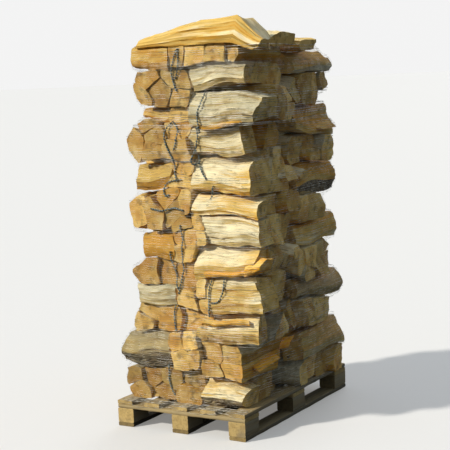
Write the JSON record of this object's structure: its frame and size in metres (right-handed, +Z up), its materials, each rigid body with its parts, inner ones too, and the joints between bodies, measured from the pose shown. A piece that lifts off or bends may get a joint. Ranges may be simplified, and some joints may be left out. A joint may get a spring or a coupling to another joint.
{
  "type": "palletised firewood stack",
  "caption": "Tall stack of split firewood laid crosswise on a wooden block pallet and held together by a knitted net wrap.",
  "frame": {"origin": "middle of the pallet's underside, on the centre bottom board", "axes": "+Z up, +X to the right along the short front side, +Y from the front to the rear along the long side"},
  "size_m": [0.9393, 1.1996, 2.1651],
  "materials": {
    "pallet_wood": "rough sawn softwood, weathered",
    "split_wood": "freshly split wood, fibrous, with sawn ends and some bark",
    "top_wood": "freshly split wood, paler from the sun",
    "wrap_yarn": "open knitted polyethylene net"
  },
  "bodies": {
    "root": {"logs_front_left_01": "split_wood", "logs_front_left_02": "split_wood", "logs_front_left_03": "split_wood", "logs_front_left_04": "split_wood", "logs_front_left_05": "split_wood", "logs_front_left_06": "split_wood", "logs_front_left_07": "split_wood", "logs_front_left_08": "split_wood", "logs_front_left_09": "split_wood", "logs_front_left_10": "split_wood", "logs_front_left_11": "split_wood", "logs_front_left_12": "split_wood", "logs_front_right_01": "split_wood", "logs_front_right_02": "split_wood", "logs_front_right_03": "split_wood", "logs_front_right_04": "split_wood", "logs_front_right_05": "split_wood", "logs_front_right_06": "split_wood", "logs_front_right_07": "split_wood", "logs_front_right_08": "split_wood", "logs_front_right_09": "split_wood", "logs_front_right_10": "split_wood", "logs_front_right_11": "split_wood", "logs_front_right_12": "split_wood", "logs_rear_01": "split_wood", "logs_rear_02": "split_wood", "logs_rear_03": "split_wood", "logs_rear_04": "split_wood", "logs_rear_05": "split_wood", "logs_rear_06": "split_wood", "logs_rear_07": "split_wood", "logs_rear_08": "split_wood", "logs_rear_09": "split_wood", "logs_rear_10": "split_wood", "logs_rear_11": "split_wood", "logs_rear_12": "split_wood", "net_wrap": "wrap_yarn", "pallet_block_front_centre": "pallet_wood", "pallet_block_front_left": "pallet_wood", "pallet_block_front_right": "pallet_wood", "pallet_block_middle_centre": "pallet_wood", "pallet_block_middle_left": "pallet_wood", "pallet_block_middle_right": "pallet_wood", "pallet_block_rear_centre": "pallet_wood", "pallet_block_rear_left": "pallet_wood", "pallet_block_rear_right": "pallet_wood", "pallet_bottom_board_centre": "pallet_wood", "pallet_bottom_board_left": "pallet_wood", "pallet_bottom_board_right": "pallet_wood", "pallet_cross_board_front": "pallet_wood", "pallet_cross_board_middle": "pallet_wood", "pallet_cross_board_rear": "pallet_wood", "pallet_deck_board_1": "pallet_wood", "pallet_deck_board_2": "pallet_wood", "pallet_deck_board_3": "pallet_wood", "pallet_deck_board_4": "pallet_wood", "pallet_deck_board_5": "pallet_wood", "top_log_back": "top_wood", "top_log_crooked": "top_wood", "top_log_second": "top_wood"}
  },
  "joints": []
}
